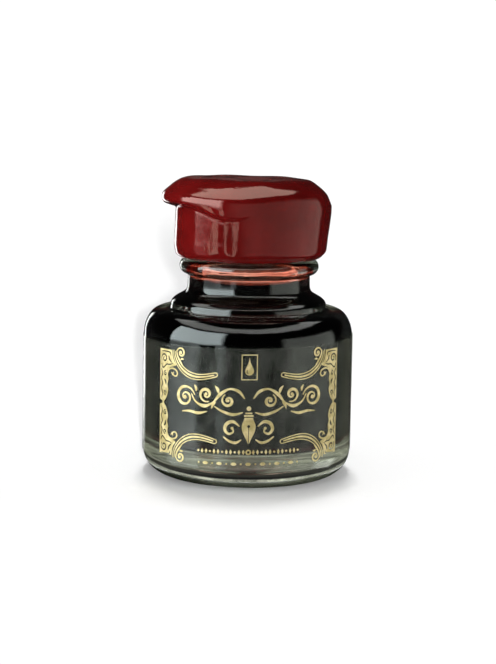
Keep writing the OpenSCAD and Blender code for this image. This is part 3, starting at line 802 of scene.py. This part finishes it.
frame_art = Art()
HORN = [(-16.5, 11.1), (-16.42, 9.95), (-15.6, 8.5), (-14.35, 7.3), (-12.75, 6.46), (-10.9, 6.16), (-8.95, 6.36), (-6.95, 6.82)]
for fx in (1, -1):
    for fy in (1, -1):
        fl = (fx, fy)
        A = frame_art
        k = 1.0 if fy > 0 else 0.97
        # corner plate and upright strip
        body = [(-21.2, 0.55), (-21.2, 11.05), (-17.35, 11.05)]
        body += catmull([(-17.3, 10.5), (-17.15, 9.7), (-16.75, 8.8), (-16.2, 8.1), (-16.9, 7.75), (-17.9, 7.45), (-18.45, 6.8), (-18.6, 5.9), (-18.45, 4.9),
                         (-18.75, 3.9), (-18.5, 2.9), (-18.7, 1.9), (-19.1, 1.0), (-19.75, 0.35), (-20.6, 0.3)], 4)
        A.poly([(float(p[0]) * fx, float(p[1]) * k * fy) for p in body])
        # engraved scrolls
        A.stroke(spiral((-19.75, 9.15), 1.02, 0.22, 215, -470, 26), [0.22, 0.34, 0.32, 0.2], cut=True, flip=fl, steps=1)
        A.stroke([(-20.55, 10.55), (-19.2, 10.62), (-18.0, 10.5), (-17.75, 9.9)], [0.16, 0.26, 0.28, 0.2], cut=True, flip=fl)
        A.stroke([(-18.35, 9.7), (-18.1, 9.0), (-17.5, 8.5)], [0.3, 0.36, 0.16], cut=True, flip=fl)
        A.stroke([(-20.75, 7.9), (-20.3, 7.15), (-19.6, 7.5), (-19.0, 7.95), (-18.1, 8.0), (-17.2, 8.3)], [0.2, 0.32, 0.24, 0.28, 0.26, 0.12], cut=True, flip=fl)
        A.stroke([(-20.8, 6.9), (-20.35, 5.9), (-20.75, 4.9), (-20.3, 3.9), (-20.7, 2.9), (-20.35, 1.9), (-20.6, 1.0)], [0.2, 0.3, 0.24, 0.3, 0.24, 0.3, 0.18], cut=True, flip=fl)
        A.stroke(spiral((-19.45, 6.05), 0.5, 0.15, 80, 380, 18), [0.2, 0.28, 0.2], cut=True, flip=fl, steps=1)
        A.stroke(spiral((-19.4, 2.05), 0.5, 0.15, -80, -380, 18), [0.2, 0.28, 0.2], cut=True, flip=fl, steps=1)
        leaf(A, (-19.75, 4.95), -68, 1.5, 0.5, fl, cut=True)
        # horn: a thin line on each side of a heavier one, closed round its tip
        c = catmull(HORN, 8)
        n = len(c) - 1
        A.stroke([tuple(q) for q in c[2:-2]], [0.2, 0.30, 0.40, 0.40, 0.34, 0.28], flip=fl, steps=1)
        rim = {1: [], -1: []}
        for s_ in (1, -1):
            for i in range(n + 1):
                d = c[min(i + 1, n)] - c[max(i - 1, 0)]
                d = d / np.hypot(*d)
                w = float(np.interp(i / n, [0, 0.25, 0.6, 1], [0.40, 0.50, 0.60, 0.42]))
                rim[s_].append((c[i][0] - s_ * d[1] * w, c[i][1] + s_ * d[0] * w))
            A.stroke(rim[s_], 0.2, flip=fl, steps=1)
        tip = c[-1]
        d = c[-1] - c[-3]
        a0 = math.atan2(d[1], d[0]) / D2R
        A.stroke(spiral((tip[0], tip[1]), 0.42, 0.42, a0 - 90, 180, 12), 0.2, flip=fl, steps=1)
        # scroll that curls over the root of the horn
        A.stroke([(-14.6, 8.35), (-15.2, 9.1), (-15.75, 9.9), (-16.05, 10.8)], [0.2, 0.34, 0.3, 0.2], flip=fl)
        A.stroke(spiral((-14.95, 10.75), 1.12, 0.22, 185, -470, 28), [0.2, 0.36, 0.42, 0.3, 0.24], flip=fl, steps=1)
        A.disc((-14.95 * fx, 10.72 * fy), 0.24)
        leaf(A, (-15.1, 9.35), 5, 1.0, 0.42, fl)
        # small scroll inside the frame
        A.stroke([(-18.75, 6.1), (-18.2, 7.0), (-17.2, 7.3), (-16.2, 7.0), (-15.85, 6.35), (-16.3, 5.8), (-17.0, 6.0), (-16.95, 6.55)], [0.3, 0.3, 0.34, 0.36, 0.34, 0.3, 0.26, 0.2], flip=fl)
        leaf(A, (-17.6, 6.55), -60, 0.9, 0.34, fl)
# crossing where the upper and lower halves meet
for fx in (1, -1):
    for q in (1, -1):
        frame_art.stroke([(-20.45, 0.5 * q), (-20.1, 0.0), (-19.75, -0.5 * q)], 0.22, flip=(fx, 1))
    frame_art.disc((-20.1 * fx, 0.0), 0.26, n=12)

emblem = Art()
for s in (1, -1):
    emblem.poly([(s * 1.62, 5.9), (s * 1.62, 11.1), (s * 1.44, 11.1), (s * 1.44, 5.9)])
    emblem.poly([(-1.62, 8.5 + s * 2.6), (1.62, 8.5 + s * 2.6), (1.62, 8.5 + s * 2.42), (-1.62, 8.5 + s * 2.42)])
drop = [(0.88 * cos(a * D2R), 7.75 + 0.88 * sin(a * D2R)) for a in range(158, 384, 15)]
drop += [tuple(p) for p in catmull([(0.82, 8.09), (0.48, 8.85), (0.16, 9.6), (0.0, 10.45)], 3)[1:]]
drop += [(-p[0], p[1]) for p in catmull([(0.82, 8.09), (0.48, 8.85), (0.16, 9.6), (0.0, 10.45)], 3)[::-1][1:-1]]
emblem.poly(drop)
emblem.stroke([(-0.42, 7.95), (-0.5, 7.5), (-0.22, 7.2)], [0.1, 0.2, 0.1], cut=True)

title = Art()
for fx in (1, -1):
    fl = (fx, 1)
    # main vine, swelling and thinning like a pen stroke
    title.stroke([(0.95, 2.2), (2.1, 3.6), (4.0, 4.05), (5.9, 2.9), (7.4, 1.2), (9.3, 0.35), (11.2, 1.1), (12.2, 2.6)], [0.22, 0.62, 0.36, 0.74, 0.28, 0.72, 0.36, 0.22], flip=fl)
    title.stroke(spiral((13.75, 1.9), 2.35, 0.45, 165, -560, 34), [0.24, 0.58, 0.74, 0.42, 0.5, 0.28, 0.36], flip=fl, steps=1)
    title.disc((13.8 * fx, 1.8), 0.42)
    title.stroke(spiral((8.9, 2.75), 1.55, 0.35, 250, 450, 28), [0.22, 0.52, 0.64, 0.36, 0.32], flip=fl, steps=1)
    title.disc((8.92 * fx, 2.8), 0.33)
    title.stroke(spiral((4.25, 1.65), 1.35, 0.3, 60, -450, 28), [0.22, 0.5, 0.6, 0.34, 0.3], flip=fl, steps=1)
    title.disc((4.25 * fx, 1.65), 0.3)
    title.stroke([(1.3, -0.7), (3.2, -1.15), (5.4, -0.55), (7.0, 0.35)], [0.2, 0.6, 0.5, 0.2], flip=fl)
    title.stroke([(8.8, -0.75), (10.6, -1.2), (12.6, -0.95), (14.4, -1.15)], [0.2, 0.6, 0.5, 0.2], flip=fl)
    leaf(title, (6.2, 3.0), 62, 1.9, 0.62, fl)
    leaf(title, (11.1, 3.2), 70, 1.5, 0.55, fl)
    leaf(title, (6.75, 1.4), -60, 1.9, 0.55, fl)
    # second row: small scrolls beside the nib
    title.stroke([(1.9, -3.5), (3.1, -2.6), (4.4, -3.0), (4.85, -4.2), (4.1, -5.1), (3.15, -4.7), (3.3, -3.95)], [0.22, 0.62, 0.7, 0.62, 0.5, 0.34, 0.3], flip=fl)
    title.stroke([(1.5, -6.3), (2.6, -6.9), (3.9, -6.6), (5.1, -5.75)], [0.2, 0.55, 0.5, 0.2], flip=fl)
    title.disc((3.35 * fx, -3.95), 0.3)
    # half of a pen nib, seen from above, with its slit and vent hole open
    nib = [tuple(p) for p in catmull([(0.0, -7.35), (0.55, -6.1), (1.25, -4.6), (1.38, -3.3), (1.0, -2.3), (0.85, -1.75)], 4)] + [(0.0, -1.75)]
    title.poly([(a * fx, b) for a, b in nib])
title.poly([(-0.065, -7.6), (0.065, -7.6), (0.065, -3.7), (-0.065, -3.7)], cut=True)
title.disc((0, -3.55), 0.3, cut=True)
title.poly([(-0.95, -1.55), (0.95, -1.55), (0.95, -1.2), (-0.95, -1.2)])
title.poly([(-0.7, -1.0), (0.7, -1.0), (0.7, -0.7), (-0.7, -0.7)])
title.disc((0, 0.1), 0.48)

footer = Art()
for i in range(-12, 13):
    if i == 0:
        continue
    x = i * 0.86 + (0.15 if i > 0 else -0.15)
    if i % 3 == 0:
        footer.disc((x, -8.85), 0.24, n=12)
    else:
        footer.poly([(x - 0.3, -8.85), (x, -9.4), (x + 0.3, -8.85), (x, -8.3)])
footer.disc((0, -8.85), 0.58, n=20)
footer.disc((0, -8.85), 0.26, cut=True, n=14)
for i in range(-7, 8):
    x = i * 1.48
    if i % 2:
        footer.disc((x, -11.3), 0.2, n=12)
    else:
        footer.poly([(x - 0.62, -11.3), (x - 0.3, -11.62), (x + 0.3, -11.62), (x + 0.62, -11.3), (x + 0.3, -10.98), (x - 0.3, -10.98)])

frame_art.build("foil_frame_print", "foil_frame")
emblem.build("foil_emblem_print", "foil_emblem")
title.build("foil_title_print", "foil_title")
footer.build("foil_footer_print", "foil_footer")

# ------------------------------------------------------------------ CAD pieces that stay
for node, mat in (("cap_shell", MAT_CAP), ("liner_board", MAT_BOARD), ("liner_facing", MAT_LINER)):
    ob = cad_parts[node]
    if not ob.material_slots:
        ob.data.materials.append(mat)
    for s in ob.material_slots:
        s.material = mat

# ------------------------------------------------------------------ stage: floor, world, lights
fm = Mat("floor_paper")
vec, fx_, fy_, fz_ = fm.pos()
fcol = fm.mixc(fm.noise(vec, 0.02, 3.0), (0.90, 0.90, 0.90), (0.92, 0.92, 0.92))
# far away the floor runs out into the white background, with no horizon
far = fm.math("SQRT", fm.math("ADD", fm.math("MULTIPLY", fx_, fx_), fm.math("MULTIPLY", fy_, fy_)))
MAT_FLOOR = fm.done(fm.mix(fm.smooth(330.0, 800.0, far), fm.n("ShaderNodeBsdfDiffuse", Color=fcol).outputs[0],
                           fm.n("ShaderNodeEmission", Color=(1, 1, 1), Strength=1.06).outputs[0]))
MAT_FLOOR.cycles.emission_sampling = "NONE"
fl = bpy.data.meshes.new("floor")
S = 6.0
fl.from_pydata([(-S, -S, 0), (S, -S, 0), (S, S, 0), (-S, S, 0)], [], [(0, 1, 2, 3)])
fl.materials.append(MAT_FLOOR)
floor = bpy.data.objects.new("floor", fl)
floor.location = (0, 0, -0.00002)
bpy.context.scene.collection.objects.link(floor)
floor.visible_glossy = False

world = bpy.data.worlds.new("studio")
bpy.context.scene.world = world
world.use_nodes = True
wt = world.node_tree
wt.nodes.clear()
out = wt.nodes.new("ShaderNodeOutputWorld")
bg = wt.nodes.new("ShaderNodeBackground")
lp = wt.nodes.new("ShaderNodeLightPath")


def wmix(fac, a, b):
    node = wt.nodes.new("ShaderNodeMix")
    node.data_type = "RGBA"
    socks = {x.identifier: x for x in node.inputs}
    wt.links.new(fac, socks["Factor_Float"])
    for k, v in (("A_Color", a), ("B_Color", b)):
        if isinstance(v, bpy.types.NodeSocket):
            wt.links.new(v, socks[k])
        else:
            socks[k].default_value = (*v, 1.0)
    return [x for x in node.outputs if x.identifier == "Result_Color"][0]


DOME = (0.36, 0.36, 0.36)
c = wmix(lp.outputs["Is Transmission Ray"], DOME, (0.95, 0.96, 0.95))
c = wmix(lp.outputs["Is Glossy Ray"], c, (0.010, 0.010, 0.010))
c = wmix(lp.outputs["Is Camera Ray"], c, (1.06, 1.06, 1.06))
wt.links.new(c, bg.inputs["Color"])
wt.links.new(bg.outputs[0], out.inputs["Surface"])
world.cycles.sampling_method = "NONE"


def group(name, obs):
    coll = bpy.data.collections.new(name)
    for ob in obs:
        coll.objects.link(ob)
    return coll


def panel(name, az0, az1, el0, el1, dist, color, strength, soft=(0.12, 0.12), centre=(0, 0, 0.035), card=True, only=None):
    """A soft patch of light that fills these directions, as seen from the bottle: azimuth from the camera side towards +X,
    and elevation. A card is seen in reflections only; the others light matt surfaces only."""
    nu, nv = 24, 12
    verts, faces, us, vs = [], [], [], []
    for j in range(nv + 1):
        for i in range(nu + 1):
            az = (az0 + (az1 - az0) * i / nu) * D2R
            el = (el0 + (el1 - el0) * j / nv) * D2R
            verts.append((centre[0] + dist * sin(az) * cos(el), centre[1] - dist * cos(az) * cos(el), centre[2] + dist * sin(el)))
            us.append(i / nu)
            vs.append(j / nv)
    for j in range(nv):
        for i in range(nu):
            a = j * (nu + 1) + i
            faces.append((a, a + 1, a + nu + 2, a + nu + 1))
    me = bpy.data.meshes.new(name)
    me.from_pydata(verts, [], faces)
    for nm, data in (("pu", us), ("pv", vs)):
        at = me.attributes.new(nm, "FLOAT", "POINT")
        at.data.foreach_set("value", np.array(data, np.float32))
    m = Mat(name + "_light")
    u = m.n("ShaderNodeAttribute", _attribute_name="pu").outputs["Fac"]
    v = m.n("ShaderNodeAttribute", _attribute_name="pv").outputs["Fac"]

    def edge(t, a, b):
        return m.math("MULTIPLY", m.smooth(0.0, a, t), m.smooth(1.0 - b, 1.0, t, 1.0, 0.0))
    if len(soft) == 2:
        soft = (soft[0], soft[0], soft[1], soft[1])
    e = m.math("MULTIPLY", edge(u, soft[0], soft[1]), edge(v, soft[2], soft[3]))
    em = m.n("ShaderNodeEmission", Color=color, Strength=m.math("MULTIPLY", e, strength))
    both = m.n("ShaderNodeAddShader", i0=em, i1=m.n("ShaderNodeBsdfTransparent"))
    mat = m.done(both.outputs[0])
    me.materials.append(mat)
    ob = bpy.data.objects.new(name, me)
    bpy.context.scene.collection.objects.link(ob)
    ob.visible_camera = False
    ob.visible_transmission = False
    ob.visible_shadow = False
    if card:
        ob.visible_diffuse = False
        mat.cycles.emission_sampling = "NONE"
    else:
        ob.visible_glossy = False
    if only is not None:
        ob.light_linking.receiver_collection = only
    return ob


ON_FLOOR = group("lit_floor", [floor])
PIECES = [o for o in bpy.context.scene.objects if o.type == "MESH" and o is not floor]
ON_WAX = group("lit_wax", [wax])
ON_GLASS = group("lit_glass", [bottle])
ON_PIECES = group("lit_pieces", PIECES)
ON_FOIL = group("lit_foil", [o for o in PIECES if o.name.startswith("foil_")])
ON_PAINTED = group("lit_painted", [o for o in PIECES if not o.name.startswith("label_")])

ON_REST = group("lit_rest", [o for o in PIECES if o is not wax])

# reflections in glass, label and foil
panel("card_left", -95, -24, -7, 38, 0.9, (0.87, 0.98, 1.0), 7.2, soft=(0.06, 0.1, 0.22, 0.06), only=ON_REST)
panel("card_left_low_a", -96, -67, -28, -2, 0.92, (0.90, 0.98, 1.0), 1.2, soft=(0.15, 0.05, 0.1, 0.25), only=ON_REST)
panel("card_left_low_b", -68, -52, -28, -2, 0.93, (0.90, 0.98, 1.0), 2.1, soft=(0.1, 0.15, 0.1, 0.25), only=ON_REST)
panel("card_left_low_c", -36, -22, -28, -2, 0.92, (0.90, 0.98, 1.0), 1.7, soft=(0.2, 0.2, 0.1, 0.25), only=ON_REST)
panel("card_right", 35, 113, -12, 22, 0.9, (0.96, 1.0, 0.92), 1.2, soft=(0.15, 0.15, 0.2, 0.2), only=ON_REST)
panel("card_right_low", 74, 120, -32, -9, 0.9, (0.96, 1.0, 0.92), 3.0, soft=(0.3, 0.3, 0.2, 0.2), only=ON_GLASS)
panel("card_table", -30, 113, -34, -5, 0.95, (0.98, 1.0, 0.97), 0.40, soft=(0.06, 0.1, 0.1, 0.3), only=ON_REST)
panel("card_overhead", -142, 142, 39, 60, 0.9, (1.0, 1.0, 0.98), 2.4, soft=(0.05, 0.05, 0.25, 0.25), only=ON_REST)
panel("card_rim", -162, -151, -15, 15, 0.9, (1.0, 1.0, 1.0), 3.2, soft=(0.25, 0.25, 0.15, 0.3), only=ON_REST)
# reflections in the wax, which are warm
panel("card_wax_left", -95, -26, -7, 38, 1.0, (1.0, 0.66, 0.60), 10.0, soft=(0.06, 0.12, 0.22, 0.06), only=ON_WAX)
panel("card_wax_low_a", -96, -69, -28, -2, 1.0, (1.0, 0.48, 0.46), 1.15, soft=(0.2, 0.1, 0.1, 0.25), only=ON_WAX)
panel("card_wax_low_b", -69, -50, -28, -2, 1.0, (1.0, 0.66, 0.52), 3.6, soft=(0.12, 0.15, 0.1, 0.25), only=ON_WAX)
panel("card_wax_low_c", -34, -24, -28, -2, 1.0, (1.0, 0.62, 0.50), 3.2, soft=(0.25, 0.25, 0.1, 0.25), only=ON_WAX)
panel("card_wax_top", -122, 110, 44, 88, 1.0, (1.0, 0.70, 0.58), 5.6, soft=(0.06, 0.12, 0.12, 0.12), only=ON_WAX)
panel("card_wax_right", -26, 121, -34, 20, 1.0, (1.0, 0.56, 0.48), 0.66, soft=(0.2, 0.05, 0.1, 0.15), only=ON_WAX)
panel("card_wax_right_b", 22, 120, -34, 21, 1.1, (1.0, 0.68, 0.60), 0.62, soft=(0.75, 0.06, 0.1, 0.2), only=ON_WAX)
panel("card_wax_rim", -164, -150, -24, 12, 1.0, (1.0, 1.0, 1.0), 4.0, soft=(0.25, 0.25, 0.15, 0.15), only=ON_WAX)
panel("card_wax_back", 172, 206, 3, 14, 1.0, (1.0, 0.62, 0.55), 0.10, soft=(0.3, 0.3, 0.3, 0.3), only=ON_WAX)
# matt light
panel("sky_floor", -180, 180, 50, 89.9, 30.0, (1.0, 1.0, 1.0), 0.12, soft=(1e-4, 1e-4, 1e-4, 1e-4), card=False, only=ON_FLOOR)
panel("lamp_behind", 152, 208, 65, 84, 30.0, (1.0, 1.0, 1.0), 51.0, soft=(0.4, 0.4, 0.4, 0.4), card=False, only=ON_FLOOR)
panel("key_left", -115, -45, 0, 45, 1.2, (1.0, 1.0, 1.0), 5.0, card=False, only=ON_PAINTED)
panel("key_right", 30, 110, 5, 45, 1.2, (1.0, 1.0, 1.0), 1.6, card=False, only=ON_FOIL)
panel("key_top", -180, 180, 50, 89, 1.3, (1.0, 1.0, 1.0), 0.8, card=False, only=ON_PIECES)

# A small light beside the lens lays a soft shadow on the floor, just left of the bottle's outline.
# It is brighter towards the distance, so that the floor is lit evenly.
EYE = (0.0, -0.378, 0.08605)


def lens_light(dx, dz, size, strength):
    cx, cy, cz = EYE[0] + dx, EYE[1], EYE[2] + dz
    n = 6
    verts, faces, us, vs = [], [], [], []
    for j in range(n + 1):
        for i in range(n + 1):
            verts.append((cx + size * (i / n - 0.5), cy, cz + size * (j / n - 0.5)))
            us.append(i / n)
            vs.append(j / n)
    for j in range(n):
        for i in range(n):
            a = j * (n + 1) + i
            faces.append((a, a + n + 1, a + n + 2, a + 1))
    me = bpy.data.meshes.new("lens_light")
    me.from_pydata(verts, [], faces)
    for nm, data in (("pu", us), ("pv", vs)):
        at = me.attributes.new(nm, "FLOAT", "POINT")
        at.data.foreach_set("value", np.array(data, np.float32))
    m = Mat("lens_light_emission")
    u = m.n("ShaderNodeAttribute", _attribute_name="pu").outputs["Fac"]
    v = m.n("ShaderNodeAttribute", _attribute_name="pv").outputs["Fac"]
    bell = lambda t: m.math("MULTIPLY", m.smooth(0.0, 0.5, t), m.smooth(0.5, 1.0, t, 1.0, 0.0))
    geo = m.t.nodes.new("ShaderNodeNewGeometry")
    sep = m.t.nodes.new("ShaderNodeSeparateXYZ")
    m.t.links.new(geo.outputs["Incoming"], sep.inputs[0])
    down = m.math("MAXIMUM", m.math("ABSOLUTE", sep.outputs["Z"]), 0.035)
    gain = m.math("DIVIDE", strength, m.math("POWER", down, 3.0))
    # nothing where it shines upwards
    gain = m.math("MULTIPLY", gain, m.math("LESS_THAN", sep.outputs["Z"], 0.0))
    em = m.n("ShaderNodeEmission", Strength=m.math("MULTIPLY", gain, m.math("MULTIPLY", bell(u), bell(v))))
    both = m.n("ShaderNodeAddShader", i0=em, i1=m.n("ShaderNodeBsdfTransparent"))
    me.materials.append(m.done(both.outputs[0]))
    ob = bpy.data.objects.new("lens_light", me)
    bpy.context.scene.collection.objects.link(ob)
    for k in ("camera", "transmission", "glossy", "shadow"):
        setattr(ob, "visible_" + k, False)
    ob.light_linking.receiver_collection = ON_FLOOR


lens_light(0.0062, 0.001, 0.009, 300.0)

# ------------------------------------------------------------------ camera
cam_data = bpy.data.cameras.new("camera")
cam = bpy.data.objects.new("camera", cam_data)
bpy.context.scene.collection.objects.link(cam)
cam_data.sensor_fit = "AUTO"
cam_data.sensor_width = 36.0
cam_data.lens = 1803.4 * 36.0 / 664.0
cam_data.clip_start, cam_data.clip_end = 0.02, 20.0
eye, aim = Vector((0.0, -0.378, 0.08605)), Vector((0.0, 0.0, 0.02962))
q = (aim - eye).to_track_quat("-Z", "Y")
cam.rotation_mode = "QUATERNION"
cam.location = eye
cam.rotation_quaternion = q @ Quaternion((0, 0, 1), 0.95 * D2R)
bpy.context.scene.camera = cam

sc = bpy.context.scene
sc.view_settings.view_transform = "Standard"
sc.view_settings.look = "None"
sc.view_settings.exposure = 0.0
sc.view_settings.gamma = 1.0
sc.cycles.max_bounces = 18
sc.cycles.transmission_bounces = 16
sc.cycles.glossy_bounces = 6
sc.cycles.diffuse_bounces = 3
sc.cycles.transparent_max_bounces = 24
sc.cycles.volume_bounces = 0
sc.cycles.blur_glossy = 0.5
sc.cycles.sample_clamp_indirect = 6.0
